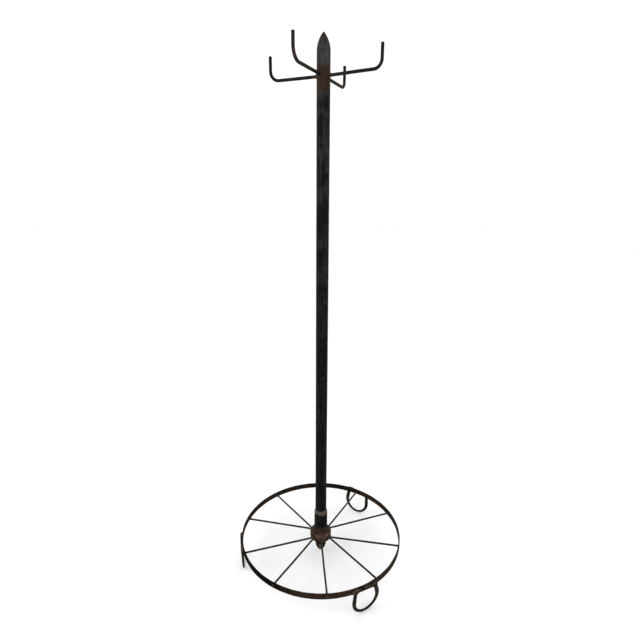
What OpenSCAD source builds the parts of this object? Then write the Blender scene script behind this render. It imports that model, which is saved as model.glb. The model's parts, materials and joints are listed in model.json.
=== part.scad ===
// Four way clothing rack: a pipe mast with four hooked arms, standing in the hub of a spoked iron wheel.
// The origin is on the floor under the mast's axis, +Z is up, and the front arm points along -Y.
// Azimuths are counted from the front, -Y, towards the right, +X.

/* [Wheel] */
// Outside diameter of the rim
rim_d = 614; // [580:2:640]
// Height of the rim's flat band
rim_h = 21.5; // [17:0.5:24]
// Thickness of the rim's flat band
rim_t = 5; // [4:0.5:7]
// Height of the rim's middle above the floor
rim_z = 100; // [92:1:115]
// Diameter of a spoke
spoke_d = 7; // [5:0.5:8]
// Diameter of the hub casting
hub_d = 82; // [72:1:84]
// Height of the hub's top face above the rim's middle
hub_rise = 13; // [12:1:20]
// Depth of the hub's bottom face below the rim's middle
hub_drop = 21; // [20:1:28]

/* [Socket] */
// Outside diameter of the sleeve round the mast's foot
sleeve_d = 50; // [48:0.2:52]
// Height of the sleeve's mouth above the rim's middle
sleeve_rise = 94; // [70:1:120]
// Height of the tapered collar that rests on the sleeve
collar_h = 13; // [8:1:18]
// Radial running clearance between the mast and its socket
swivel_gap = 0.08; // [0.02:0.01:0.1]

/* [Mast] */
// Outside diameter of the post's pipe
post_d = 42.2; // [40:0.2:44]
// Wall of the post's pipe
post_wall = 3.6; // [2.6:0.2:5]
// Height of the mast's upper tip above the floor, before it is rounded
mast_top = 1850; // [1700:1:1950]
// Length of the upper point, before it is rounded
top_point_l = 55; // [45:1:70]
// Height of the mast's lower tip above the floor, before it is rounded
mast_bottom = 16; // [12:1:30]
// Length of the lower point, before it is rounded
low_point_l = 43; // [40:1:50]
// Radius of the lower point's blunt nose
low_nose_r = 10; // [4:0.5:12]

/* [Arms] */
// Height of the arms above the floor
arm_z = 1729; // [1600:1:1760]
// Diameter of an arm's round bar
arm_d = 10; // [8:0.5:12]
// Reach of each arm from the mast's axis: front, right, back, left
arm_reach = [194, 189, 177, 182]; // [150:1:220]
// Rise of each arm's upturned end above its bar
arm_rise = [68, 66, 69, 72]; // [55:1:90]
// Bend radius of each arm
arm_bend = [34, 25, 21, 29]; // [15:1:38]

/* [Feet] */
// Outside radius of a foot's round lower end
foot_r = 55; // [50:1:56]
// Width of a foot's bar at its sides
foot_w = 15; // [12:0.5:16]
// Width of a foot's bar at its lowest point
foot_low_w = 9; // [7:0.5:12]
// Thickness of a foot's bar
foot_t = 5; // [4:0.5:7]
// Inward lean of each foot below the rim
foot_lean = 4; // [0:0.5:6]

/* [Hidden] */
$fn = 64;
eps = 0.01;

rim_r = rim_d / 2;
rim_edge = 1.2;
rim_low_z = rim_z - rim_h / 2;
hub_r = hub_d / 2;
hub_top_z = rim_z + hub_rise;
hub_low_z = rim_z - hub_drop;
hub_top_round = 6;
hub_low_round = 9;

// Every other spoke starts from the hub's upper row, and the rest from its lower row.
spoke_count = 10;
spoke_step = 360 / spoke_count;
spoke_first = 29;
spoke_rows = [-19, 8];
spoke_root = 28;

post_r = post_d / 2;
socket_r = post_r + swivel_gap;
sleeve_r = sleeve_d / 2;
sleeve_top_z = rim_z + sleeve_rise;
sleeve_bead = 5;
collar_lip = 0.7;
post_low_z = mast_bottom + low_point_l;
post_top_z = mast_top - top_point_l;
top_nose_r = 2.5;
spigot_l = 30;
spigot_gap = 0.05;

arm_names = ["arm_front", "arm_right", "arm_back", "arm_left"];
arm_azimuth = [0, 86, 181.4, 272];
arm_r = arm_d / 2;
arm_end_round = 1.5;
arm_bead_l = 8;
arm_bead_h = 4;

// The three closed loops under the rim, front right, back and left. Each leans from the rim's
// lower edge and is worn flat where it meets the floor.
foot_names = ["foot_front", "foot_back", "foot_left"];
foot_azimuth = [55.2, 172.8, 306];
foot_face_x = rim_r - 1;
foot_flat = 0.7;
foot_drop = (rim_low_z + foot_flat - foot_t * sin(foot_lean)) / cos(foot_lean) - foot_r;

// The centres of each foot's two upper corners, from its round end's centre, as seen from outside.
foot_left = [[-36, 38.5], [-36.5, 34], [-34, 36.5]];
foot_right = [[30, 33.5], [31.4, 38.8], [34, 36.5]];
foot_corner_r = 16;
foot_hole_r = foot_r - foot_w;
foot_hole_drop = [0, foot_w - foot_low_w];
foot_hole_corner_r = 10.5;
foot_hole_in = [7.6, 8.1];
foot_bead_r = 3.5;
foot_bead_l = 12;
foot_bead_in = 0.7;
foot_bead_up = 2;
foot_bead_out = [foot_corner_r + 1, 0];

black_iron = [0.13, 0.13, 0.14];
worn_iron = [0.22, 0.21, 0.20];
brown_iron = [0.24, 0.18, 0.14];
rusty_iron = [0.32, 0.24, 0.19];
tan_metal = [0.46, 0.40, 0.32];

function two_digits(i) = i < 10 ? str("0", i) : str(i);
spoke_names = [for (i = [1:spoke_count]) str("spoke_", two_digits(i))];

// Turns local +X to an azimuth.
module face(azimuth) {
    rotate([0, 0, azimuth - 90]) children();
}

// A rectangle centred on the origin with its corners rounded by true arcs.
module rounded_rect(w, h, r) {
    square([w - 2 * r, h], center = true);
    square([w, h - 2 * r], center = true);
    for (x = [-1, 1], y = [-1, 1])
        translate([x * (w / 2 - r), y * (h / 2 - r)]) circle(r);
}

// A round bar along +Z with a rounded upper end.
module round_ended_bar(r, l, round) {
    rotate_extrude() {
        square([r, l - round]);
        square([r - round, l]);
        translate([r - round, l - round])
            intersection() {
                circle(round);
                square(round);
            }
    }
}

// A tangent ogive along +Z with a round nose, and a spigot below its shoulder.
module ogive_point(l, nose_r) {
    ogive_r = (pow(l, 2) + pow(post_r, 2)) / (2 * post_r);
    inset = ogive_r - post_r;
    nose_z = sqrt(pow(ogive_r - nose_r, 2) - pow(inset, 2));
    // The nose meets the ogive on the line through both centres.
    join_z = nose_z * ogive_r / (ogive_r - nose_r);
    rotate_extrude($fn = 96) {
        intersection() {
            translate([-inset, 0]) circle(ogive_r, $fn = 360);
            square([post_r, join_z]);
        }
        intersection() {
            translate([0, nose_z]) circle(nose_r);
            translate([0, nose_z]) square(nose_r);
        }
        translate([0, -spigot_l]) square([post_r - post_wall - spigot_gap, spigot_l + eps]);
    }
}

// One spoke's bar, from a distance s0 to a distance s1 along its own line.
module spoke_bar(i, s0, s1) {
    row = spoke_rows[i % 2];
    tilt = atan(row / (rim_r - rim_t / 2));
    face(spoke_first + i * spoke_step)
        translate([0, 0, rim_z + row])
            rotate([0, 90 + tilt, 0])
                translate([0, 0, s0])
                    cylinder(d = spoke_d, h = s1 - s0);
}

// The cylinder of the rim's outer face, over the rim's height.
module rim_disc() {
    translate([0, 0, rim_low_z]) cylinder(r = rim_r, h = rim_h, $fn = 360);
}

// A spoke from its socket in the hub, through the rim, filed flush with the rim's outer face.
module spoke(i) {
    color(worn_iron)
        difference() {
            spoke_bar(i, spoke_root, rim_r + 2 * rim_t);
            difference() {
                translate([0, 0, rim_low_z]) cylinder(r = rim_r + 4 * rim_t, h = rim_h);
                rim_disc();
            }
        }
}

module rim() {
    color(brown_iron)
        difference() {
            translate([0, 0, rim_z])
                rotate_extrude($fn = 360)
                    translate([rim_r - rim_t / 2, 0])
                        rounded_rect(rim_t, rim_h, rim_edge);
            for (i = [0:spoke_count - 1])
                spoke_bar(i, rim_r - 4 * rim_t, rim_r + 2 * rim_t);
        }
}

module hub() {
    color(rusty_iron)
        difference() {
            rotate_extrude() {
                translate([0, hub_low_z])
                    square([hub_r - hub_low_round, hub_rise + hub_drop - hub_top_round]);
                translate([0, hub_low_z + hub_low_round])
                    square([hub_r - hub_top_round, hub_rise + hub_drop - hub_low_round]);
                translate([0, hub_low_z + hub_low_round])
                    square([hub_r, hub_rise + hub_drop - hub_low_round - hub_top_round]);
                translate([hub_r - hub_low_round, hub_low_z + hub_low_round]) circle(hub_low_round);
                translate([hub_r - hub_top_round, hub_top_z - hub_top_round]) circle(hub_top_round);
            }
            translate([0, 0, hub_low_z - 1]) cylinder(r = socket_r, h = hub_rise + hub_drop + 2);
            for (i = [0:spoke_count - 1])
                spoke_bar(i, spoke_root, 2 * hub_r);
        }
}

module socket_sleeve() {
    color(black_iron)
        translate([0, 0, hub_top_z])
            difference() {
                cylinder(r = sleeve_r, h = sleeve_top_z - hub_top_z);
                translate([0, 0, -1]) cylinder(r = socket_r, h = sleeve_top_z - hub_top_z + 2);
            }
}

// The fillet of weld that joins the sleeve to the hub's top face.
module sleeve_weld() {
    color(rusty_iron)
        translate([0, 0, hub_top_z])
            rotate_extrude()
                translate([sleeve_r, 0])
                    difference() {
                        square(sleeve_bead);
                        translate([sleeve_bead + 0.4, sleeve_bead + 0.4]) circle(sleeve_bead);
                    }
}

function on_circle(centre, r, angle) = centre + r * [cos(angle), sin(angle)];

// Outward normal of the line that touches a circle about the origin and a corner circle at p.
function side_normal(r, corner, p) = atan2(p[1], p[0]) - acos((r - corner) / norm(p));

// A round lower end about the origin and two upper corners, with straight sides and a straight top.
module loop_outline(r, corner, left, right) {
    left_normal = 180 - side_normal(r, corner, [-left[0], left[1]]);
    right_normal = side_normal(r, corner, right);
    top_normal = 90 + atan2(right[1] - left[1], right[0] - left[0]);
    circle(r, $fn = 128);
    translate(left) circle(corner);
    translate(right) circle(corner);
    polygon([
        on_circle([0, 0], r, left_normal),
        on_circle([0, 0], r, right_normal),
        on_circle(right, corner, right_normal),
        on_circle(right, corner, top_normal),
        on_circle(left, corner, top_normal),
        on_circle(left, corner, left_normal)
    ]);
}

// Places children in a foot's own plane, with the origin at its round end's centre.
module foot_plane(i) {
    face(foot_azimuth[i])
        translate([foot_face_x, 0, rim_low_z])
            rotate([0, foot_lean, 0])
                translate([0, 0, -foot_drop])
                    children();
}

// The slab that a foot's outline makes, without its hole.
module foot_slab(i) {
    foot_plane(i)
        rotate([90, 0, 90])
            linear_extrude(foot_t)
                loop_outline(foot_r, foot_corner_r, foot_left[i], foot_right[i]);
}

// A closed loop with its top side against the rim, cut to the rim's curve and flat on the floor.
module foot(i) {
    color(black_iron)
        difference() {
            foot_slab(i);
            foot_plane(i)
                rotate([90, 0, 90])
                    translate([0, 0, -1])
                        linear_extrude(foot_t + 2)
                            translate(-foot_hole_drop)
                                loop_outline(
                                    foot_hole_r,
                                    foot_hole_corner_r,
                                    foot_left[i] + foot_hole_drop + [foot_hole_in[0], -foot_hole_in[1]],
                                    foot_right[i] + foot_hole_drop - foot_hole_in
                                );
            rim_disc();
            translate([0, 0, -foot_r]) cylinder(r = 2 * rim_r, h = foot_r);
        }
}

// A bead of weld in the gap between the rim's outer face and each upper corner of a foot.
module foot_welds() {
    color(worn_iron)
        for (i = [0:len(foot_names) - 1])
            difference() {
                foot_plane(i)
                    for (at = [foot_left[i] - foot_bead_out, foot_right[i] + foot_bead_out])
                        translate([-foot_bead_in, at[0], at[1] + foot_bead_up])
                            cylinder(r = foot_bead_r, h = foot_bead_l);
                rim_disc();
                foot_slab(i);
            }
}

module post_tube() {
    color(black_iron)
        translate([0, 0, post_low_z])
            difference() {
                cylinder(r = post_r, h = post_top_z - post_low_z);
                translate([0, 0, -1]) cylinder(r = post_r - post_wall, h = post_top_z - post_low_z + 2);
            }
}

module top_point() {
    color(black_iron) translate([0, 0, post_top_z]) ogive_point(top_point_l, top_nose_r);
}

module lower_point() {
    color(rusty_iron) translate([0, 0, post_low_z]) mirror([0, 0, 1]) ogive_point(low_point_l, low_nose_r);
}

// The tapered ring fixed round the post, which turns on the sleeve's mouth.
module swivel_collar() {
    color(tan_metal)
        translate([0, 0, sleeve_top_z])
            rotate_extrude()
                polygon([
                    [post_r, 0],
                    [sleeve_r, 0],
                    [sleeve_r, collar_h / 4],
                    [post_r + collar_lip, collar_h],
                    [post_r, collar_h]
                ]);
}

// A round bar from the post's wall, bent up to a plain upright end.
module arm(i) {
    color(black_iron)
        face(arm_azimuth[i])
            translate([0, 0, arm_z])
                difference() {
                    union() {
                        rotate([0, 90, 0]) cylinder(r = arm_r, h = arm_reach[i] - arm_bend[i]);
                        translate([arm_reach[i] - arm_bend[i], 0, arm_bend[i]])
                            rotate([90, 0, 0])
                                rotate([0, 0, -90])
                                    rotate_extrude(angle = 90) translate([arm_bend[i], 0]) circle(arm_r);
                        translate([arm_reach[i], 0, arm_bend[i]])
                            round_ended_bar(arm_r, arm_rise[i] - arm_bend[i], arm_end_round);
                    }
                    translate([0, 0, -post_d / 2]) cylinder(r = post_r, h = post_d);
                }
}

// The fillet of weld round the root of each arm.
module arm_welds() {
    color(rusty_iron)
        for (azimuth = arm_azimuth)
            face(azimuth)
                translate([0, 0, arm_z])
                    difference() {
                        rotate([0, 90, 0])
                            rotate_extrude()
                                polygon([
                                    [arm_r, post_r - arm_bead_h],
                                    [arm_r + arm_bead_h, post_r - arm_bead_h],
                                    [arm_r + arm_bead_h, post_r + 1],
                                    [arm_r + arm_bead_h / 3, post_r + arm_bead_l / 2],
                                    [arm_r, post_r + arm_bead_l]
                                ]);
                        translate([0, 0, -post_d / 2]) cylinder(r = post_r, h = post_d);
                    }
}

rim();
hub();
socket_sleeve();
sleeve_weld();
foot_welds();
for (i = [0:spoke_count - 1])
    spoke(i);
for (i = [0:len(foot_names) - 1])
    foot(i);
post_tube();
top_point();
lower_point();
swivel_collar();
arm_welds();
for (i = [0:len(arm_names) - 1])
    arm(i);
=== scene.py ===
import json
import math

import bmesh
import bpy
from mathutils import Matrix, Vector, noise


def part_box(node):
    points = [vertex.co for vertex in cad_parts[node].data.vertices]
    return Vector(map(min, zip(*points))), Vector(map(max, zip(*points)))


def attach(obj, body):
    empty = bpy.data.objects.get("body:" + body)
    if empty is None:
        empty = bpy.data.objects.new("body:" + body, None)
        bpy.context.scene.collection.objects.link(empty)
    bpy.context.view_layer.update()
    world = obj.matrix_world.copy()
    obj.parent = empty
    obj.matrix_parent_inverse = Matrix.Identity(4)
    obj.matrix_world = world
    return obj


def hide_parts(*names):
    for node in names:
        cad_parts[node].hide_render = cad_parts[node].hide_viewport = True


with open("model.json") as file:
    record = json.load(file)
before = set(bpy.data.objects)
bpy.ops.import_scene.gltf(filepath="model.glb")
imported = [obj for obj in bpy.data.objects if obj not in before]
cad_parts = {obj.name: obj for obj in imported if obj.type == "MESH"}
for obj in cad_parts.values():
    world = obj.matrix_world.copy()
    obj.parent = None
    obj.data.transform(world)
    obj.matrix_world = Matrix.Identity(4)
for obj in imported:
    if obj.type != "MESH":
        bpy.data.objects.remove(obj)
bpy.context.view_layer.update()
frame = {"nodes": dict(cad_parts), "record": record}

# ---------------------------------------------------------------- sizes, in metres

MM = 0.001
UP = Vector((0, 0, 1))

RIM_LOW, RIM_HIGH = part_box("rim")
RIM_RADIUS = (RIM_HIGH.x - RIM_LOW.x) / 2
RIM_MIDDLE = (RIM_LOW.z + RIM_HIGH.z) / 2
RIM_HEIGHT = RIM_HIGH.z - RIM_LOW.z
RIM_THICKNESS = 5 * MM

HUB_LOW, HUB_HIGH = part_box("hub")
HUB_RADIUS = (HUB_HIGH.x - HUB_LOW.x) / 2
HUB_TOP_ROUND = 6 * MM
HUB_LOW_ROUND = 9 * MM

SLEEVE_LOW, SLEEVE_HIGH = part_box("socket_sleeve")
SLEEVE_RADIUS = (SLEEVE_HIGH.x - SLEEVE_LOW.x) / 2

POST_LOW, POST_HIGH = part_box("post_tube")
POST_RADIUS = (POST_HIGH.x - POST_LOW.x) / 2
POST_WALL = 3.6 * MM
SOCKET_GAP = 0.08 * MM

COLLAR_LOW, COLLAR_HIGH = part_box("swivel_collar")
MAST_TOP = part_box("top_point")[1].z
TOP_POINT_LENGTH = 55 * MM
TOP_POINT_NOSE = 2.5 * MM
LOWER_POINT_LENGTH = 43 * MM
LOWER_POINT_NOSE = 10 * MM

SPOKES = sorted(n for n in frame["nodes"] if n.startswith("spoke_"))
SPOKE_RADIUS = 3.5 * MM
SPOKE_ROOT = 28 * MM
# The heights of the two rows of spokes above the rim's middle, on the mast's axis. At the rim they are level.
SPOKE_ROWS = (-19 * MM, 8 * MM)

MOUNTS = {m["name"]: m for m in frame["record"]["mounts"]}
ARMS = ("front", "right", "back", "left")
ARM_RADIUS = MOUNTS["arm_end_front"]["dims"]["r_mm"] * MM
ARM_STEP = 3 * MM
ARM_BEND_STEPS = 14

FEET = ("front", "back", "left")
FOOT_THICKNESS = 5 * MM
FOOT_RADIUS = 55 * MM
FOOT_FLAT = 0.7 * MM
FOOT_FACE = RIM_RADIUS - 1 * MM
FOOT_LEAN = math.radians(4)
# The centres of each foot's upper corners, left and right from outside, in mm from its round end's centre.
FOOT_CORNERS = {
    "front": ((-36, 38.5), (30, 33.5)),
    "back": ((-36.5, 34), (31.4, 38.8)),
    "left": ((-34, 36.5), (34, 36.5)),
}
FOOT_CORNER = 16 * MM
FOOT_HOLE_RADIUS = 40 * MM
FOOT_HOLE_CORNER = 10.5 * MM
FOOT_HOLE_DROP = 6 * MM
FOOT_HOLE_IN = (7.6 * MM, 8.1 * MM)

# The first noise seed of each kind of piece that repeats. The seeds of arms and feet are SEED_STEP apart.
SPOKE_SEED = 60
ARM_SEED = 71
ARM_WELD_SEED = 90
FOOT_SEED = 110
FOOT_WELD_SEED = 130
SEED_STEP = 3


def heading(azimuth):
    """The level direction at an azimuth counted from -Y towards +X, in radians."""
    return Vector((math.sin(azimuth), -math.cos(azimuth), 0))


def azimuth_of(point):
    return math.atan2(point[0], -point[1])


def arm_height():
    """The height of the arms' bars, from the box of the front one."""
    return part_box("arm_front")[0].z + ARM_RADIUS


# ---------------------------------------------------------------- mesh helpers


def lumps(point, scale, seed):
    """Smooth noise from -1 to 1, with features of about 1 / scale metres."""
    return noise.noise(point * scale + Vector((seed * 7.31, seed * 3.17, seed * 5.73)))


def rough_iron(seed, big, small):
    """A surface's unevenness in metres, from a slow swell and a patchy fine roughness in millimetres."""
    swell_scale = 55
    fine_scale = 320
    patch_scale = 90

    def offset(point):
        slow = lumps(point, swell_scale, seed)
        fine = lumps(point, fine_scale, seed + 1) * lumps(point, patch_scale, seed + 2)
        return (big * slow + 2 * small * fine) * MM

    return offset


def new_object(name, verts, faces):
    """A mesh object, linked to the scene."""
    mesh = bpy.data.meshes.new(name)
    mesh.from_pydata([tuple(v) for v in verts], [], faces)
    mesh.validate()
    mesh.update()
    obj = bpy.data.objects.new(name, mesh)
    bpy.context.scene.collection.objects.link(obj)
    return obj


def mesh_from_rings(name, rings, loop=False):
    """A skin over rings of points. A loop joins its last ring to its first, and an open skin gets caps."""
    count = len(rings[0])
    verts = [p for ring in rings for p in ring]
    faces = []
    last = len(rings) if loop else len(rings) - 1
    for i in range(last):
        a = i * count
        b = ((i + 1) % len(rings)) * count
        for k in range(count):
            m = (k + 1) % count
            faces.append((a + k, a + m, b + m, b + k))
    if not loop:
        for start, flip in ((0, True), ((len(rings) - 1) * count, False)):
            centre = sum((verts[start + k] for k in range(count)), Vector()) / count
            verts.append(centre)
            tip = len(verts) - 1
            for k in range(count):
                m = (k + 1) % count
                ends = (start + m, start + k) if flip else (start + k, start + m)
                faces.append((*ends, tip))
    return new_object(name, verts, faces)


def joined(name, parts):
    """One object from several."""
    verts = []
    faces = []
    for part in parts:
        base = len(verts)
        verts += [tuple(v.co) for v in part.data.vertices]
        faces += [tuple(base + i for i in p.vertices) for p in part.data.polygons]
        bpy.data.meshes.remove(part.data)
    return new_object(name, verts, faces)


def merge_close(obj):
    """Joins points that lie on each other, as a lathe leaves on its axis, and turns the faces outwards."""
    bm = bmesh.new()
    bm.from_mesh(obj.data)
    bmesh.ops.remove_doubles(bm, verts=bm.verts, dist=0.001 * MM)
    bmesh.ops.recalc_face_normals(bm, faces=bm.faces)
    bm.to_mesh(obj.data)
    bm.free()


def roughen(obj, offset):
    """Pushes every vertex along its normal by offset(point)."""
    mesh = obj.data
    normals = [v.normal.copy() for v in mesh.vertices]
    for v, n in zip(mesh.vertices, normals):
        v.co += n * offset(v.co.copy())
    mesh.update()


def lathe(name, outline, segments):
    """Turns an outline of (radius, height) points about the Z axis. The outline is closed."""
    rings = []
    for k in range(segments):
        d = heading(2 * math.pi * k / segments)
        rings.append([d * r + UP * z for r, z in outline])
    obj = mesh_from_rings(name, rings, loop=True)
    merge_close(obj)
    return obj


def arc(cx, cz, r, start, end, steps):
    """Points on an arc, in degrees from the outline's +radius direction."""
    return [
        (
            cx + r * math.cos(math.radians(start + (end - start) * i / steps)),
            cz + r * math.sin(math.radians(start + (end - start) * i / steps)),
        )
        for i in range(steps + 1)
    ]


def straight(start, end, step):
    """Points along a line of an outline, without its first point."""
    length = math.dist(start, end)
    count = max(1, round(length / step))
    return [
        (
            start[0] + (end[0] - start[0]) * i / count,
            start[1] + (end[1] - start[1]) * i / count,
        )
        for i in range(1, count + 1)
    ]


def side_points(start, end, count):
    """The points strictly between two corners of a section or loop, which cut its side into count parts."""
    return straight(start, end, math.dist(start, end) / count)[:-1]


def round_section(radius, count):
    return [
        (radius * math.cos(2 * math.pi * k / count), radius * math.sin(2 * math.pi * k / count))
        for k in range(count)
    ]


def flat_section(width, thickness, edge, per_side):
    """A bar's section with rounded corners: the first axis is its width, the second its thickness."""
    points = []
    w = width / 2 - edge
    t = thickness / 2 - edge
    for cx, cz, start in ((w, t, 0), (-w, t, 90), (-w, -t, 180), (w, -t, 270)):
        corner = arc(cx, cz, edge, start, start + 90, 4)
        if points:
            points += side_points(points[-1], corner[0], per_side)
        points += corner
    return points + side_points(points[-1], points[0], per_side)


def sweep(name, path, side, section, end_round):
    """A bar with rounded ends along a path in one plane.

    side is the direction across that plane, and the section's second axis.
    """
    rings = []
    for i, point in enumerate(path):
        before = path[max(i - 1, 0)]
        after = path[min(i + 1, len(path) - 1)]
        along = (after - before).normalized()
        out = side.cross(along).normalized()
        rings.append([point + out * a + side * b for a, b in section])
    radius = max(math.hypot(*p) for p in section)
    return mesh_from_rings(name, rounded_ends(path, rings, end_round, radius))


def rounded_ends(path, rings, end_round, radius):
    """Adds smaller rings beyond a bar's last ones, which round its ends over."""
    steps = 4

    def cap(centre, inner, ring):
        along = (centre - inner).normalized()
        made = []
        for i in range(1, steps + 1):
            angle = math.pi / 2 * i / steps
            shrink = 1 - end_round * (1 - math.cos(angle)) / radius
            move = along * end_round * math.sin(angle)
            made.append([centre + (p - centre) * shrink + move for p in ring])
        return made

    first = cap(path[0], path[1], rings[0])
    last = cap(path[-1], path[-2], rings[-1])
    return first[::-1] + rings + last


def place(obj, body, slot, material, *nodes):
    """Gives a finished piece its material and body, and hides the CAD nodes that it stands for. slot is not
    used.
    """
    for p in obj.data.polygons:
        p.use_smooth = True
    obj.data.materials.append(material)
    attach(obj, body)
    if nodes:
        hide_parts(*nodes)
    return obj


# ---------------------------------------------------------------- materials


class Nodes:
    """A short way to write a material's node tree."""

    def __init__(self, name):
        self.material = bpy.data.materials.new(name)
        self.material.use_nodes = True
        self.tree = self.material.node_tree
        self.tree.nodes.clear()
        self.output = self.tree.nodes.new("ShaderNodeOutputMaterial")
        self.shader = self.tree.nodes.new("ShaderNodeBsdfPrincipled")
        self.link(self.shader.outputs["BSDF"], self.output.inputs["Surface"])
        self.position = self.tree.nodes.new("ShaderNodeTexCoord").outputs["Object"]

    def link(self, source, target):
        self.tree.links.new(source, target)

    def set(self, socket, value):
        if isinstance(value, bpy.types.NodeSocket):
            self.link(value, socket)
        else:
            socket.default_value = value

    def stretched(self, scale):
        """The position with each axis scaled, for streaks."""
        node = self.tree.nodes.new("ShaderNodeMapping")
        self.link(self.position, node.inputs["Vector"])
        node.inputs["Scale"].default_value = scale
        return node.outputs["Vector"]

    def noise(self, scale, detail, roughness, distortion=0.0, vector=None):
        node = self.tree.nodes.new("ShaderNodeTexNoise")
        self.link(vector or self.position, node.inputs["Vector"])
        node.inputs["Scale"].default_value = scale
        node.inputs["Detail"].default_value = detail
        node.inputs["Roughness"].default_value = roughness
        node.inputs["Distortion"].default_value = distortion
        return node.outputs["Fac"]

    def ramp(self, value, low, high, start=0.0, end=1.0):
        """Maps low..high smoothly to start..end, clamped."""
        node = self.tree.nodes.new("ShaderNodeMapRange")
        node.interpolation_type = "SMOOTHSTEP"
        self.link(value, node.inputs["Value"])
        node.inputs["From Min"].default_value = low
        node.inputs["From Max"].default_value = high
        node.inputs["To Min"].default_value = start
        node.inputs["To Max"].default_value = end
        return node.outputs["Result"]

    def math(self, operation, a, b=0.0):
        node = self.tree.nodes.new("ShaderNodeMath")
        node.operation = operation
        self.set(node.inputs[0], a)
        self.set(node.inputs[1], b)
        return node.outputs["Value"]

    def times(self, a, b):
        return self.math("MULTIPLY", a, b)

    def plus(self, a, b):
        return self.math("ADD", a, b)

    def mix(self, factor, a, b):
        node = self.tree.nodes.new("ShaderNodeMix")
        node.data_type = "RGBA"
        self.set(node.inputs["Factor"], factor)
        self.set(node.inputs["A"], a if isinstance(a, bpy.types.NodeSocket) else (*a, 1))
        self.set(node.inputs["B"], b if isinstance(b, bpy.types.NodeSocket) else (*b, 1))
        return node.outputs["Result"]

    def axis(self, name):
        node = self.tree.nodes.new("ShaderNodeSeparateXYZ")
        self.link(self.position, node.inputs["Vector"])
        return node.outputs[name]

    def edge(self):
        """High on convex edges and low in hollows."""
        return self.tree.nodes.new("ShaderNodeNewGeometry").outputs["Pointiness"]

    def bump(self, height, strength, distance, below=None):
        node = self.tree.nodes.new("ShaderNodeBump")
        node.inputs["Strength"].default_value = strength
        node.inputs["Distance"].default_value = distance
        self.link(height, node.inputs["Height"])
        if below is not None:
            self.link(below, node.inputs["Normal"])
        return node.outputs["Normal"]

    def band(self, value, middle, half, soft):
        """One inside middle +- half, falling to zero over soft."""
        away = self.math("ABSOLUTE", self.math("SUBTRACT", value, middle))
        return self.ramp(away, half, half + soft, 1.0, 0.0)

    def toward(self, azimuth):
        """The distance from the mast's axis along a level direction, given in degrees."""
        d = heading(math.radians(azimuth))
        return self.plus(self.times(self.axis("X"), d.x), self.times(self.axis("Y"), d.y))


# Colours that several of the irons share. DEEP is that of hollows and of painted shade.
DEEP = (0.0014, 0.0012, 0.0011)
# The grey of a painted highlight round the top of the mast.
PAINTED_HIGHLIGHT = (0.062, 0.060, 0.061)
BROWN = (0.042, 0.027, 0.018)
LIGHT = (0.17, 0.155, 0.13)


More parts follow.
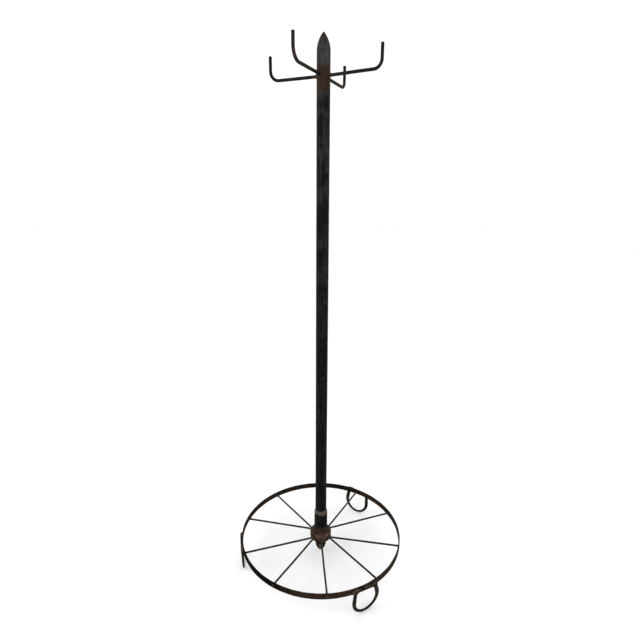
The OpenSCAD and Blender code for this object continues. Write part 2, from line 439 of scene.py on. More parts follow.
def iron(
    name, paint, patch, rust, bright, rust_cover, wear, specular=0.05, rough=(0.42, 0.72), relief=1.0,
    crevice=0.5, soft=0.07, specks=0.8, streaks=(70, 70, 9), zone=None, highlight=None, shade=None,
):
    """Old iron: dark paint or scale with cloudy patches, brown rust, bright specks and worn edges.

    paint and patch are the paint's two tones, and bright is that of the specks and the worn edges.
    rust_cover is the share of brown, and soft is how gently it starts. wear, crevice and specks are how
    strong the worn edges, the dark hollows (grime and painted shade) and the specks are. rough is the range
    of the roughness, relief scales the pitting, and streaks is the scale of the paint's streaks on each axis.
    By place, zone(nodes) adds rust, highlight(nodes) lays a painted highlight of grey on the paint, and
    shade(nodes) darkens everything, which on the mast and the front arm is painted shade.
    """
    n = Nodes(name)
    cloud = n.noise(26, detail=6, roughness=0.6, distortion=0.4)
    streak = n.noise(1, detail=5, roughness=0.6, distortion=0.3, vector=n.stretched(streaks))
    grain = n.noise(900, detail=3, roughness=0.6)
    pits = n.noise(330, detail=5, roughness=0.65, distortion=0.2)
    blotch = n.noise(60, detail=7, roughness=0.68, distortion=0.6)

    base = n.mix(n.ramp(n.times(cloud, streak), 0.17, 0.36), paint, patch)
    base = n.mix(n.ramp(grain, 0.35, 0.75, 0.0, 0.35), base, patch)
    # A painted highlight: the paint turns grey along its streaks where highlight(nodes) says.
    if highlight is not None:
        base = n.mix(n.times(highlight(n), n.ramp(streak, 0.36, 0.62, 0.1, 1.0)), base, PAINTED_HIGHLIGHT)

    amount = n.plus(n.times(blotch, 0.75), n.times(pits, 0.25))
    if zone is not None:
        amount = n.plus(amount, n.times(zone(n), 0.30))
    rust_from = 0.80 - 0.55 * rust_cover
    rusty = n.ramp(amount, rust_from - soft, rust_from + soft)
    dark_rust = tuple(c * 0.45 for c in rust)
    rust_cloud = n.noise(140, detail=5, roughness=0.7)
    base = n.mix(rusty, base, n.mix(n.ramp(rust_cloud, 0.35, 0.68), dark_rust, rust))

    speck_noise = n.noise(520, detail=2, roughness=0.5, distortion=0.5)
    speck = n.ramp(speck_noise, 0.70, 0.76, 0.0, specks)
    base = n.mix(n.times(speck, n.ramp(cloud, 0.48, 0.62)), base, bright)
    worn = n.times(n.ramp(n.edge(), 0.505, 0.56), n.ramp(blotch, 0.38, 0.6, 0.0, wear))
    base = n.mix(worn, base, bright)
    # Hollows, found by pointiness, darken towards DEEP: grime and painted shade.
    base = n.mix(n.ramp(n.edge(), 0.496, 0.465, 0.0, crevice), base, DEEP)
    # Darkening by place towards DEEP; on the mast and the front arm it is painted shade.
    if shade is not None:
        base = n.mix(n.times(shade(n), n.ramp(blotch, 0.30, 0.70, 1.0, 0.55)), base, DEEP)
    n.set(n.shader.inputs["Base Color"], base)

    uneven = n.plus(n.times(cloud, 0.6), n.times(grain, 0.4))
    polish = n.ramp(uneven, 0.3, 0.7, *rough)
    rust_roughness = 0.80
    n.set(n.shader.inputs["Roughness"], n.math("MAXIMUM", polish, n.times(rusty, rust_roughness)))
    n.shader.inputs["Specular IOR Level"].default_value = specular

    under = n.bump(n.ramp(blotch, 0.3, 0.75), strength=0.35 * relief, distance=1.2 * MM)
    pitted = n.bump(pits, strength=0.45 * relief, distance=0.6 * MM, below=under)
    n.set(n.shader.inputs["Normal"], n.bump(grain, strength=0.25 * relief, distance=0.2 * MM, below=pitted))
    return n.material


# Each function below gives a strength by place, with places in metres. Rust below 0 takes some away.


def mast_rust(n):
    """Brown round the arms' roots, at the upper tip and at the mast's foot."""
    z = n.axis("Z")
    arms = n.band(z, middle=arm_height() - 0.008, half=0.012, soft=0.050)
    tip = n.ramp(z, MAST_TOP - 0.045, MAST_TOP - 0.002, 0.0, 0.75)
    foot = n.ramp(z, HUB_HIGH.z + 0.01, HUB_LOW.z, 0.0, 1.3)
    return n.plus(n.plus(n.times(arms, 1.15), tip), foot)


def mast_highlight(n):
    """A painted highlight: the paint is greyed round the top of the mast."""
    return n.ramp(n.axis("Z"), arm_height() - 0.10, arm_height() + 0.02, 0.0, 0.70)


def mast_shade(n):
    """Painted shade: darker downwards from just below the arms, and darkest on the lower part of the mast."""
    darkest_below = 0.75
    return n.ramp(n.axis("Z"), arm_height() - 0.15, darkest_below, 0.0, 0.88)


def point_rust(n):
    """A brown band down the lower point's side that faces the camera, with less brown elsewhere."""
    y = n.axis("Y")
    slanted = n.plus(n.axis("X"), n.times(y, 0.35))
    front = n.ramp(y, 0.0, -0.006)
    run = n.times(n.band(slanted, middle=0.001, half=0.002, soft=0.011), front)
    return n.math("SUBTRACT", n.times(run, 1.6), 0.5)


def sleeve_rust(n):
    """Brown that creeps up the sleeve from the hub."""
    return n.ramp(n.axis("Z"), HUB_HIGH.z + 0.040, HUB_HIGH.z, 0.0, 1.2)


def arm_rust(n):
    """Brown at the roots of three arms, and along the bars of the front and back ones."""
    x = n.axis("X")
    y = n.axis("Y")
    out = n.math("SQRT", n.plus(n.times(x, x), n.times(y, y)))
    root = n.ramp(out, POST_RADIUS + 0.006, POST_RADIUS + 0.035, 1.2, 0.0)
    # The front arm's root gets no brown, so that the painted shadow next to its weld stays dark.
    root = n.times(root, n.ramp(y, -0.032, -0.022))
    low = n.ramp(n.axis("Z"), arm_height() + 0.040, arm_height() + 0.010)
    bars = n.ramp(n.math("ABSOLUTE", y), 0.04, 0.11, 0.0, 0.75)
    return n.plus(root, n.times(low, bars))


def arm_shade(n):
    """Painted shadow: the front arm's bar is darkened next to its weld, where it lies in shade."""
    y = n.axis("Y")
    return n.times(n.ramp(y, -0.020, -0.030), n.ramp(y, -0.100, -0.065))


def rim_zone(n):
    """The rim is browner on its front half and beside the back foot, and greyer at its right and back."""
    brown = n.ramp(n.axis("Y"), 0.22, -0.05, 0.0, 0.25)
    patch = n.ramp(n.toward(154), 0.288, 0.299, 0.0, 0.7)
    right = n.ramp(n.toward(108), 0.270, 0.295, 0.0, 0.40)
    back = n.ramp(n.toward(-172), 0.285, 0.299, 0.0, 0.30)
    return n.math("SUBTRACT", n.plus(brown, patch), n.plus(right, back))


def rim_shade(n):
    """The rim is darkened most at its left front."""
    return n.ramp(n.toward(-27), 0.240, 0.291, 0.0, 1.2)


POST_IRON = iron(
    "post_iron",
    paint=(0.0016, 0.0016, 0.0019),
    patch=(0.024, 0.0245, 0.027),
    rust=BROWN,
    bright=LIGHT,
    rust_cover=0.28,
    wear=0.0,
    specular=0.035,
    soft=0.12,
    specks=1.0,
    streaks=(150, 150, 7),
    zone=mast_rust,
    highlight=mast_highlight,
    shade=mast_shade,
)
SLEEVE_IRON = iron(
    "sleeve_iron",
    paint=(0.0014, 0.0013, 0.0014),
    patch=(0.008, 0.0078, 0.0075),
    rust=BROWN,
    bright=LIGHT,
    rust_cover=0.26,
    wear=0.4,
    specular=0.03,
    soft=0.12,
    streaks=(160, 160, 40),
    zone=sleeve_rust,
)
ARM_IRON = iron(
    "arm_iron",
    paint=(0.0020, 0.0020, 0.0020),
    patch=(0.016, 0.016, 0.0165),
    rust=BROWN,
    bright=(0.06, 0.058, 0.055),
    rust_cover=0.25,
    wear=0.15,
    specular=0.04,
    specks=0.2,
    relief=0.6,
    zone=arm_rust,
    shade=arm_shade,
)
RIM_IRON = iron(
    "rim_iron",
    paint=(0.003, 0.003, 0.0026),
    patch=(0.011, 0.009, 0.007),
    rust=(0.034, 0.020, 0.012),
    bright=(0.10, 0.080, 0.060),
    rust_cover=0.53,
    wear=0.6,
    specular=0.015,
    zone=rim_zone,
    shade=rim_shade,
)
SPOKE_IRON = iron(
    "spoke_iron",
    paint=(0.007, 0.007, 0.0065),
    patch=(0.030, 0.028, 0.025),
    rust=(0.034, 0.023, 0.015),
    bright=LIGHT,
    rust_cover=0.30,
    wear=0.2,
)
HUB_IRON = iron(
    "hub_iron",
    paint=(0.0016, 0.0012, 0.0012),
    patch=(0.006, 0.0045, 0.004),
    rust=(0.092, 0.056, 0.042),
    bright=(0.24, 0.17, 0.12),
    rust_cover=0.60,
    wear=0.6,
    specular=0.015,
    rough=(0.6, 0.85),
    relief=2.6,
    crevice=1.0,
    soft=0.045,
)
# The lower point's paint is darkened as painted shade, for the shadow under the hub.
POINT_IRON = iron(
    "lower_point_iron",
    paint=(0.0010, 0.0008, 0.0007),
    patch=(0.004, 0.003, 0.0025),
    rust=(0.105, 0.066, 0.040),
    bright=(0.20, 0.14, 0.09),
    rust_cover=0.40,
    wear=0.3,
    specular=0.02,
    rough=(0.6, 0.85),
    relief=1.5,
    soft=0.10,
    zone=point_rust,
)
FOOT_IRON = iron(
    "foot_iron",
    paint=(0.0018, 0.0017, 0.0015),
    patch=(0.017, 0.0145, 0.011),
    rust=(0.052, 0.037, 0.023),
    bright=(0.25, 0.20, 0.14),
    rust_cover=0.46,
    wear=0.7,
    specular=0.015,
)
WELD_IRON = iron(
    "weld_iron",
    paint=(0.006, 0.0045, 0.004),
    patch=(0.018, 0.013, 0.010),
    rust=(0.055, 0.035, 0.024),
    bright=(0.18, 0.14, 0.11),
    rust_cover=0.60,
    wear=0.4,
    rough=(0.5, 0.8),
    relief=1.5,
    crevice=0.8,
)


def collar_metal():
    """The tan ring: bare metal, patchy brown, and darkest in its groove, from grime and painted shade."""
    n = Nodes("collar_metal")
    z = n.axis("Z")
    height = COLLAR_HIGH.z - COLLAR_LOW.z
    stain = n.noise(160, detail=6, roughness=0.7, distortion=0.5)
    groove = n.band(z, middle=COLLAR_LOW.z + 0.52 * height, half=0.10 * height, soft=0.22 * height)
    base = n.mix(n.ramp(stain, 0.35, 0.66), (0.045, 0.036, 0.026), (0.150, 0.130, 0.100))
    # Grime and painted shade darken the groove.
    dirt_and_shade = n.times(groove, n.ramp(stain, 0.62, 0.38, 0.45, 1.0))
    n.set(n.shader.inputs["Base Color"], n.mix(dirt_and_shade, base, (0.028, 0.020, 0.014)))
    n.set(n.shader.inputs["Roughness"], n.ramp(stain, 0.3, 0.7, 0.62, 0.45))
    n.shader.inputs["Specular IOR Level"].default_value = 0.2
    pits = n.noise(420, detail=5, roughness=0.65)
    n.set(n.shader.inputs["Normal"], n.bump(pits, strength=0.5, distance=0.5 * MM))
    return n.material


COLLAR_METAL = collar_metal()

# ---------------------------------------------------------------- the mast


def build_post():
    """The pipe. Above the socket its skin is uneven, and inside the socket it is smooth."""
    skin = 0.05 * MM
    outer = POST_RADIUS - skin
    inner = POST_RADIUS - POST_WALL
    outline = [(inner, POST_LOW.z), (outer, POST_LOW.z)]
    outline += straight(outline[-1], (outer, POST_HIGH.z), 7 * MM)
    outline += [(inner, POST_HIGH.z)]
    outline += straight(outline[-1], (inner, POST_LOW.z), 200 * MM)[:-1]
    obj = lathe("mast_post", outline, segments=56)
    uneven = rough_iron(seed=3, big=0.22, small=0.09)
    socket_top = COLLAR_HIGH.z + 2 * MM

    def offset(p):
        outside = p.xy.length > (inner + outer) / 2
        return min(uneven(p), skin) if outside and p.z > socket_top else 0.0

    roughen(obj, offset)
    return place(obj, "mast", "black_steel", POST_IRON, "post_tube")


def ogive(radius, length, nose):
    """A pointed end's outline from its shoulder to its tip: a tangent ogive with a small round nose."""
    big = (length**2 + radius**2) / (2 * radius)
    inset = big - radius
    nose_z = math.sqrt((big - nose) ** 2 - inset**2)
    join = math.degrees(math.asin(nose_z / (big - nose)))
    return arc(-inset, 0, big, 0, join, 22)[:-1] + arc(0, nose_z, nose, join, 90, 6)


def build_point(name, node, shoulder, length, nose, sign, material, slot, seed):
    """A pointed end with a stub inside the post. sign is 1 for one that points up and -1 for one down."""
    stub = 10 * MM
    ease = 6 * MM
    outline = [(0.0, -stub), (POST_RADIUS - POST_WALL, -stub), (POST_RADIUS - POST_WALL, 0.0)]
    outline += ogive(POST_RADIUS - 0.05 * MM, length - 0.1 * MM, nose)
    outline[-1] = (0.0, outline[-1][1])
    outline = [(r, shoulder + sign * z) for r, z in outline]
    obj = lathe(name, outline, segments=56)
    uneven = rough_iron(seed, big=0.30, small=0.14)

    def offset(p):
        rise = sign * (p.z - shoulder)
        return min(uneven(p), 0.04 * MM) * min(1.0, max(0.0, rise / ease))

    roughen(obj, offset)
    return place(obj, "mast", slot, material, node)


def build_collar():
    """The ring at the socket's mouth: a rounded lip, a groove, and a slim neck round the post."""
    z = COLLAR_LOW.z
    height = COLLAR_HIGH.z - z
    bore = POST_RADIUS - 0.4 * MM
    wide = SLEEVE_RADIUS - 0.1 * MM
    slim = POST_RADIUS + 0.6 * MM
    edge = 0.9 * MM
    bottom = z + 0.05 * MM
    outline = [(bore, bottom), (wide - 0.6 * MM, bottom)]
    outline += arc(wide - edge, z + 1.3 * MM, edge, -60, 40, 4)
    outline += [(wide - edge, z + 0.34 * height), (wide - 1.35 * MM, z + 0.48 * height)]
    outline += [(slim + 0.9 * MM, z + 0.66 * height), (slim + 0.75 * MM, z + 0.80 * height)]
    outline += arc(slim - 0.2 * MM, z + height - 1.1 * MM, edge, 10, 90, 4)
    outline += [(bore, z + height - 0.3 * MM)]
    obj = lathe("swivel_ring", outline, segments=96)
    uneven = rough_iron(seed=11, big=0.22, small=0.10)
    roughen(obj, lambda p: min(uneven(p), 0.08 * MM))
    return place(obj, "mast", "rubbed_ring", COLLAR_METAL, "swivel_collar")


def arm_path(name):
    """The middle line of an arm, from inside the post's wall to just below its upturned end."""
    mount = MOUNTS[f"arm_end_{name}"]
    end = Vector(mount["pos_m"])
    out = heading(azimuth_of(end))
    reach = end.xy.length
    z = arm_height()
    half = mount["dims"]["length_mm"] * MM / 2
    bend = end.z - half - z
    root = POST_RADIUS - 1.5 * MM
    run = reach - bend
    count = round((run - root) / ARM_STEP)
    points = [out * (root + (run - root) * i / count) + UP * z for i in range(count)]
    for i in range(ARM_BEND_STEPS + 1):
        angle = math.pi / 2 * i / ARM_BEND_STEPS
        points.append(out * (run + bend * math.sin(angle)) + UP * (z + bend * (1 - math.cos(angle))))
    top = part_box(f"arm_{name}")[1].z - 1.8 * MM
    rise = top - (z + bend)
    count = round(rise / ARM_STEP)
    points += [out * reach + UP * (z + bend + rise * i / count) for i in range(1, count + 1)]
    return points, out


def build_arm(name, seed):
    """A bar that wanders a little from its line."""
    path, out = arm_path(name)
    side = UP.cross(out)
    bent = [p + side * 0.5 * MM * lumps(p, 14, seed) + UP * 0.4 * MM * lumps(p, 12, seed + 5) for p in path]
    section = round_section(ARM_RADIUS - 0.15 * MM, 24)
    obj = sweep(f"arm_bar_{name}", bent, side, section, end_round=1.7 * MM)
    roughen(obj, rough_iron(seed, big=0.18, small=0.12))
    return place(obj, "mast", "black_steel", ARM_IRON, f"arm_{name}")


def build_arm_weld(name, seed):
    """A lumpy fillet of weld from the arm's skin to the post's, all round its root."""
    out = heading(azimuth_of(MOUNTS[f"arm_end_{name}"]["pos_m"]))
    side = UP.cross(out)
    z = arm_height()
    turns = 40
    steps = 10
    inner = ARM_RADIUS - 0.6 * MM
    spread = 5.0 * MM
    height = 6.8 * MM
    buried = POST_RADIUS - 2.5 * MM
    rings = []
    for k in range(turns):
        angle = 2 * math.pi * k / turns
        ray = side * math.cos(angle) + UP * math.sin(angle)
        swell = 1 + 0.28 * lumps(ray * 0.01 + out * 0.02, 260, seed) + 0.10 * math.sin(angle * 9 + seed)
        ring = []
        for i in range(steps + 1):
            t = i / steps
            away = inner + (spread * swell) * t
            wall = math.sqrt(max(0.0, POST_RADIUS**2 - (away * math.cos(angle)) ** 2))
            lift = (height * swell) * (1 - t) ** 1.7 - 0.5 * MM * t
            ring.append(out * (wall + lift) + ray * away + UP * z)
        ring.append(out * buried + ray * (inner + 3.5 * MM) + UP * z)
        ring.append(out * buried + ray * inner + UP * z)
        rings.append(ring)
    obj = mesh_from_rings(f"arm_weld_{name}", rings, loop=True)
    merge_close(obj)
    roughen(obj, rough_iron(seed, big=0.35, small=0.25))
    return place(obj, "mast", "weld_metal", WELD_IRON)


# ---------------------------------------------------------------- the wheel


def spoke_line(node):
    """A spoke's direction, and the height above the rim's middle at which its line meets the axis."""
    low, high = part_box(node)
    azimuth = azimuth_of((low + high) / 2)
    return heading(azimuth), SPOKE_ROWS[(int(node[-2:]) - 1) % 2]


def spoke_point(node, r):
    out, row = spoke_line(node)
    slope = row / (RIM_RADIUS - RIM_THICKNESS / 2)
    return out * r + UP * (RIM_MIDDLE + row - slope * r)


def build_hub():
    """A lumpy casting with a smooth bore and a raised boss round each spoke's root."""
    bore = POST_RADIUS + SOCKET_GAP + 0.2 * MM
    step = 1.6 * MM
    low_round = HUB_RADIUS - HUB_LOW_ROUND
    top_round = HUB_RADIUS - HUB_TOP_ROUND
    outline = [(bore, HUB_LOW.z)]
    outline += straight(outline[-1], (low_round, HUB_LOW.z), step)[:-1]
    outline += arc(low_round, HUB_LOW.z + HUB_LOW_ROUND, HUB_LOW_ROUND, -90, 0, 9)
    outline += straight(outline[-1], (HUB_RADIUS, HUB_HIGH.z - HUB_TOP_ROUND), step)[:-1]
    outline += arc(top_round, HUB_HIGH.z - HUB_TOP_ROUND, HUB_TOP_ROUND, 0, 90, 7)
    outline += straight(outline[-1], (bore, HUB_HIGH.z), step)
    outline += straight(outline[-1], (bore, HUB_LOW.z), 4 * MM)[:-1]
    obj = lathe("hub_casting", outline, segments=150)

    roots = [(spoke_point(n, HUB_RADIUS - 1 * MM), spoke_line(n)[0]) for n in SPOKES]
    boss_depth = 12 * MM
    boss_flat = 3 * MM
    boss_slope = 5 * MM
    # These two are in millimetres, as the lumps of the casting are.
    boss_height = 2.2
    sunk = 0.7

    def offset(p):
        if p.xy.length < bore + 0.5 * MM:
            return 0.0
        casting = 1.1 * lumps(p, 75, 21) + 0.95 * lumps(p, 170, 22) + 0.35 * lumps(p, 420, 23)
        boss = 0.0
        for root, out in roots:
            d = p - root
            across = (d - out * d.dot(out)).length
            if d.dot(out) > -boss_depth:
                boss = max(boss, 1 - min(1.0, max(0.0, (across - boss_flat) / boss_slope)))
        ease = boss * boss * (3 - 2 * boss)
        return (casting - sunk + boss_height * ease) * MM

    roughen(obj, offset)
    return place(obj, "wheel_base", "rusty_casting", HUB_IRON, "hub")


def build_sleeve():
    """The socket: a short pipe with a smooth bore and mouth, whose lower end is sunk in the hub."""
    bore = POST_RADIUS + SOCKET_GAP + 0.1 * MM
    outer = SLEEVE_RADIUS - 0.1 * MM
    low = HUB_HIGH.z - 1.5 * MM
    high = SLEEVE_HIGH.z
    mouth_round = 0.8 * MM
    outline = [(bore, low), (outer, low)]
    outline += straight(outline[-1], (outer, high - mouth_round), 3 * MM)
    outline += arc(outer - mouth_round, high - mouth_round, mouth_round, 0, 90, 3)[1:]
    outline += [(bore, high)]
    outline += straight(outline[-1], (bore, low), 20 * MM)[:-1]
    obj = lathe("mast_socket", outline, segments=72)
    uneven = rough_iron(seed=31, big=0.30, small=0.14)

    def offset(p):
        skin = p.xy.length > bore + 1 * MM and p.z < high - 0.2 * MM
        return min(uneven(p), 0.09 * MM) if skin else 0.0

    roughen(obj, offset)
    return place(obj, "wheel_base", "black_steel", SLEEVE_IRON, "socket_sleeve")


def build_sleeve_weld():
    """A fillet that swells and thins round the sleeve's foot, heaviest on one side."""
    turns = 110
    steps = 9
    heavy = heading(math.radians(100))
    rings = []
    for k in range(turns):
        d = heading(2 * math.pi * k / turns)
        p = d * SLEEVE_RADIUS
        bias = max(0.0, d.dot(heavy))
        swell = 0.85 + 0.30 * lumps(p, 60, 41) + 0.14 * lumps(p, 210, 42) + 0.45 * bias
        tall = 6.0 * MM * (swell + 1.3 * bias**3)
        wide = 4.6 * MM * min(1.15, swell)
        ring = [p - d * 1.2 * MM + UP * (HUB_HIGH.z - 2 * MM)]
        for i in range(steps + 1):
            t = i / steps
            r = SLEEVE_RADIUS - 0.7 * MM + wide * t
            rise = tall * (1 - t) ** 1.6 - 1.2 * MM * t
            ring.append(d * r + UP * (HUB_HIGH.z + rise))
        ring.append(d * (SLEEVE_RADIUS + wide * 0.8) + UP * (HUB_HIGH.z - 2.5 * MM))
        rings.append(ring)
    obj = mesh_from_rings("socket_weld", rings, loop=True)
    merge_close(obj)
    roughen(obj, rough_iron(seed=43, big=0.45, small=0.30))
    return place(obj, "wheel_base", "weld_metal", WELD_IRON, "sleeve_weld")


def build_rim():
    """A flat band with rounded edges, bent into a ring."""
    turns = 540
    section = flat_section(RIM_HEIGHT - 0.3 * MM, RIM_THICKNESS - 0.2 * MM, edge=1.3 * MM, per_side=3)
    middle = RIM_RADIUS - RIM_THICKNESS / 2 - 0.15 * MM
    rings = []
    for k in range(turns):
        d = heading(2 * math.pi * k / turns)
        centre = d * middle + UP * RIM_MIDDLE
        rings.append([centre + UP * a + d * b for a, b in section])
    obj = mesh_from_rings("wheel_rim", rings, loop=True)
    merge_close(obj)
    uneven = rough_iron(seed=51, big=0.28, small=0.16)
    roughen(obj, lambda p: min(uneven(p), 0.05 * MM))
    return place(obj, "wheel_base", "brown_steel", RIM_IRON, "rim")


def build_spoke(node):
    """A slightly wavy bar from the hub, flared where it enters the rim and filed flush on the outside."""
    seed = SPOKE_SEED + int(node[-2:])
    out = spoke_line(node)[0]
    side = UP.cross(out)
    tip = RIM_RADIUS - 0.1 * MM
    flare = 1.3 * MM
    flare_length = 2.6 * MM
    count = 70
    rings = []
    section = round_section(1.0, 16)
    for i in range(count + 1):
        r = SPOKE_ROOT + (tip - SPOKE_ROOT) * i / count
        p = spoke_point(node, r)
        free = math.sin(math.pi * i / count)
        p = p + side * 0.7 * MM * free * lumps(p, 7, seed) + UP * 0.5 * MM * free * lumps(p, 8, seed + 9)
        thick = SPOKE_RADIUS * (1 + 0.03 * lumps(p, 40, seed))
        thick += flare * math.exp(-(((RIM_RADIUS - RIM_THICKNESS - r) / flare_length) ** 2))
        rings.append([p + (side * a + UP * b) * thick for a, b in section])
    obj = mesh_from_rings(f"{node}_bar", rings)
    merge_close(obj)
    roughen(obj, rough_iron(seed, big=0.10, small=0.08))
    return place(obj, "wheel_base", "worn_steel", SPOKE_IRON, node)


def foot_plane(name):
    """A foot's own axes: X outwards from its inner face, Y along the rim, Z up from its round end."""
    azimuth = azimuth_of(MOUNTS[f"foot_pad_{name}"]["pos_m"])
    low = RIM_LOW.z
    drop = (low + FOOT_FLAT - FOOT_THICKNESS * math.sin(FOOT_LEAN)) / math.cos(FOOT_LEAN) - FOOT_RADIUS
    return (
        Matrix.Rotation(azimuth - math.pi / 2, 4, "Z")
        @ Matrix.Translation((FOOT_FACE, 0, low))
        @ Matrix.Rotation(FOOT_LEAN, 4, "Y")
        @ Matrix.Translation((0, 0, -drop))
    )


def side_normal(radius, corner, y, z):
    """The outward direction, in degrees, of the line that touches a loop's round end and its right corner."""
    return math.degrees(math.atan2(z, y) - math.acos((radius - corner) / math.hypot(y, z)))


def loop_outline(radius, corner, left, right):
    """A loop's outline as one closed line: its round end, right side, top and left side."""
    left_normal = 180 - side_normal(radius, corner, -left[0], left[1])
    right_normal = side_normal(radius, corner, *right)
    top_normal = 90 + math.degrees(math.atan2(right[1] - left[1], right[0] - left[0]))
    right_turn = arc(*right, corner, right_normal, top_normal, 10)
    left_turn = arc(*left, corner, top_normal, left_normal, 10)
    per_side = 12
    points = arc(0, 0, radius, left_normal - 360, right_normal, 60)
    for turn in (right_turn, left_turn):
        points += side_points(points[-1], turn[0], per_side) + turn
    return points + side_points(points[-1], points[0], per_side)


def foot_corners(name):
    return [(y * MM, z * MM) for y, z in FOOT_CORNERS[name]]


def build_foot(name, seed):
    """A closed loop of flat bar. Its floor side is flat, and its top side lies against the rim."""
    plane = foot_plane(name)
    left, right = foot_corners(name)
    across, down = FOOT_HOLE_IN
    hole_left = (left[0] + across, left[1] + FOOT_HOLE_DROP - down)
    hole_right = (right[0] - across, right[1] + FOOT_HOLE_DROP - down)
    outside = loop_outline(FOOT_RADIUS - 0.15 * MM, FOOT_CORNER - 0.15 * MM, left, right)
    hole = loop_outline(FOOT_HOLE_RADIUS, FOOT_HOLE_CORNER, hole_left, hole_right)
    inside = [(y, z - FOOT_HOLE_DROP) for y, z in hole]
    lift = Vector((FOOT_THICKNESS / 2, 0, 0))
    rings = []
    for outer, inner in zip(outside, inside):
        middle = (Vector((0, *outer)) + Vector((0, *inner))) / 2
        along = Vector((0, *outer)) - Vector((0, *inner))
        section = flat_section(along.length, FOOT_THICKNESS - 0.2 * MM, edge=1.7 * MM, per_side=2)
        way = along.normalized()
        rings.append([plane @ (middle + lift + way * a + Vector((b, 0, 0))) for a, b in section])
    obj = mesh_from_rings(f"foot_loop_{name}", rings, loop=True)
    merge_close(obj)
    uneven = rough_iron(seed, big=0.45, small=0.22)
    roughen(obj, lambda p: min(uneven(p) - 0.1 * MM, 0.06 * MM))
    rim_face = RIM_RADIUS + 0.05 * MM
    for v in obj.data.vertices:
        v.co.z = max(v.co.z, 0.0)
        if v.co.z > RIM_LOW.z - 0.5 * MM and v.co.xy.length < rim_face:
            v.co.xy = v.co.xy.normalized() * rim_face
    return place(obj, "wheel_base", "black_steel", FOOT_IRON, f"foot_{name}")


def build_foot_welds(name, seed):
    """A rippled bead round each upper corner of a foot, in the gap between the foot and the rim."""
    plane = foot_plane(name)
    section = round_section(1.0, 14)
    steps = 34
    bead_radius = 3.0 * MM
    deep = Vector((-0.7 * MM, 0, 0))
    parts = []
    for sign, corner in zip((-1, 1), foot_corners(name)):
        rings = []
        for i in range(steps + 1):
            t = i / steps
            angle = math.radians(-4 + 88 * t)
            away = Vector((0, sign * math.cos(angle), math.sin(angle)))
            centre = Vector((0, *corner)) + away * (FOOT_CORNER + 0.4 * MM)
            ripple = 1 + 0.14 * abs(math.sin(t * math.pi * 6)) + 0.30 * lumps(Vector((t, sign, 0)), 3.7, seed)
            size = bead_radius * ripple * math.sqrt(max(0.03, 1 - (2 * t - 1) ** 6))
            ring = []
            for a, b in section:
                depth = Vector((b * size * 1.15, 0, 0))
                ring.append(plane @ (centre + deep + away * a * size + depth))
            rings.append(ring)
        parts.append(mesh_from_rings("bead", rings))
    obj = joined(f"foot_weld_{name}", parts)
    merge_close(obj)
    roughen(obj, rough_iron(seed, big=0.35, small=0.25))
    return place(obj, "wheel_base", "weld_metal", WELD_IRON)


build_post()
build_point(
    "mast_top_point", "top_point", POST_HIGH.z, TOP_POINT_LENGTH, TOP_POINT_NOSE, sign=1,
    material=POST_IRON, slot="black_steel", seed=5,
)
build_point(
    "mast_lower_point", "lower_point", POST_LOW.z, LOWER_POINT_LENGTH, LOWER_POINT_NOSE, sign=-1,
    material=POINT_IRON, slot="rusty_casting", seed=7,
)
build_collar()
for index, arm_name in enumerate(ARMS):
    build_arm(arm_name, ARM_SEED + index * SEED_STEP)
    build_arm_weld(arm_name, ARM_WELD_SEED + index * SEED_STEP)
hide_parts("arm_welds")

build_hub()
build_sleeve()
build_sleeve_weld()
build_rim()
for spoke in SPOKES:
    build_spoke(spoke)
for index, foot_name in enumerate(FEET):
    build_foot(foot_name, FOOT_SEED + index * SEED_STEP)
    build_foot_welds(foot_name, FOOT_WELD_SEED + index * SEED_STEP)
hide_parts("foot_welds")

# ---------------------------------------------------------------- floor, light and camera


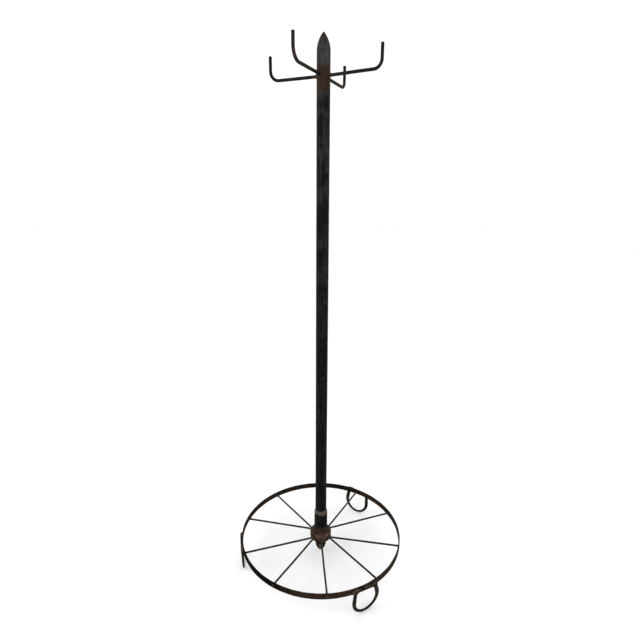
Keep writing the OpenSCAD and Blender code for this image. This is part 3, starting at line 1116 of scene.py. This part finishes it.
def backdrop_material():
    n = Nodes("backdrop")
    cloud = n.noise(3, detail=2, roughness=0.5)
    tone = n.mix(cloud, (0.945, 0.945, 0.945), (0.955, 0.955, 0.955))
    n.set(n.shader.inputs["Base Color"], tone)
    n.shader.inputs["Roughness"].default_value = 0.9
    n.shader.inputs["Specular IOR Level"].default_value = 0.1
    return n.material


def build_floor():
    half = 30.0
    corners = [(-half, -half, 0), (half, -half, 0), (half, half, 0), (-half, half, 0)]
    obj = new_object("floor", corners, [(0, 1, 2, 3)])
    obj.data.materials.append(backdrop_material())


def add_area(name, location, target, size, power):
    light = bpy.data.lights.new(name, "AREA")
    light.shape = "SQUARE"
    light.size = size
    light.energy = power
    obj = bpy.data.objects.new(name, light)
    obj.location = location
    obj.rotation_mode = "QUATERNION"
    obj.rotation_quaternion = (Vector(target) - Vector(location)).to_track_quat("-Z", "Y")
    bpy.context.scene.collection.objects.link(obj)


def build_world():
    world = bpy.data.worlds.new("studio")
    bpy.context.scene.world = world
    world.use_nodes = True
    sky = world.node_tree.nodes["Background"]
    sky.inputs["Color"].default_value = (1, 1, 1, 1)
    sky.inputs["Strength"].default_value = 1.05


def build_camera():
    """The camera looks down from the right of the front arm, at about three quarters of the mast's height."""
    turn = math.radians(24.79)
    yaw = -0.00456
    pitch = 0.25775
    roll = -0.00489
    distance = 1.5339
    height = 1.3674
    level = Vector((math.cos(yaw), -math.sin(yaw), 0))
    forward = Vector((math.sin(yaw) * math.cos(pitch), math.cos(yaw) * math.cos(pitch), -math.sin(pitch)))
    above = level.cross(forward)
    right = level * math.cos(roll) - above * math.sin(roll)
    top = level * math.sin(roll) + above * math.cos(roll)
    basis = Matrix((right, top, -forward)).transposed().to_4x4()
    camera = bpy.data.cameras.new("camera")
    camera.sensor_width = 36
    camera.lens = 25.779375
    obj = bpy.data.objects.new("camera", camera)
    bpy.context.scene.collection.objects.link(obj)
    spin = Matrix.Rotation(turn, 4, "Z")
    obj.matrix_world = spin @ Matrix.Translation((0, -distance, height)) @ basis
    bpy.context.scene.camera = obj


build_floor()
build_world()
mast_middle = (0, 0, 0.95)
add_area("key", (-1.9, -2.6, 2.9), mast_middle, size=1.6, power=32)
add_area("fill", (2.8, -1.4, 1.8), mast_middle, size=2.0, power=10)
build_camera()
bpy.context.scene.view_settings.view_transform = "Standard"
